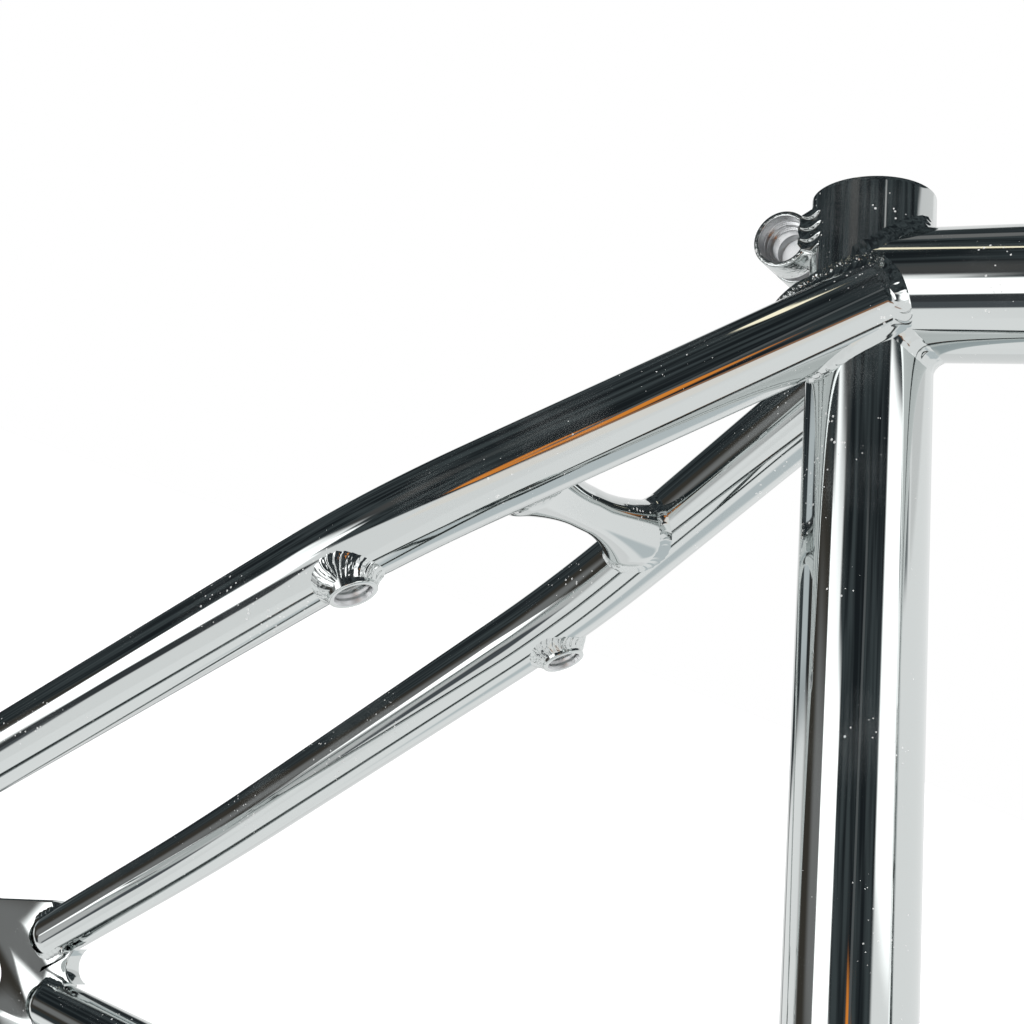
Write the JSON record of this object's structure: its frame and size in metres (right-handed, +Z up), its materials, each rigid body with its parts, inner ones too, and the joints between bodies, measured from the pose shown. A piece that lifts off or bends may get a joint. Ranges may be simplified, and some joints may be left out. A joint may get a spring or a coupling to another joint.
{
  "type": "bicycle frame",
  "caption": "Bare chromed BMX bicycle frame: head, top, down and seat tubes, splayed stays, slotted drop-outs, brake bosses and a slit seat clamp.",
  "frame": {"origin": "middle of the bottom bracket axis", "axes": "+X forward to the front wheel, +Y to the rider's left, +Z up; the crank spindle runs along Y"},
  "size_m": [0.8314, 0.1368, 0.4374],
  "materials": {
    "tubes": "mirror chrome plate over drawn steel tube",
    "stays": "mirror chrome plate with faint lengthwise draw marks",
    "shells": "mirror chrome plate over turned steel, with satin bores",
    "bridges": "mirror chrome plate",
    "dropouts": "chrome plate over cut steel sheet, satin on the cut edges",
    "bosses": "chrome plate, bare satin thread inside",
    "clamp": "chrome plate over rough brazed lug, satin counterbore"
  },
  "bodies": {
    "root": {"bottom_bracket_shell": "shells", "brake_boss_left": "bosses", "brake_boss_right": "bosses", "chain_stay_bridge": "bridges", "chain_stay_left": "stays", "chain_stay_right": "stays", "down_tube": "tubes", "dropout_left": "dropouts", "dropout_right": "dropouts", "head_tube": "shells", "seat_clamp_ear_left": "clamp", "seat_clamp_ear_right": "clamp", "seat_stay_bridge": "bridges", "seat_stay_left": "stays", "seat_stay_right": "stays", "seat_tube": "tubes", "top_tube": "tubes"}
  },
  "joints": []
}
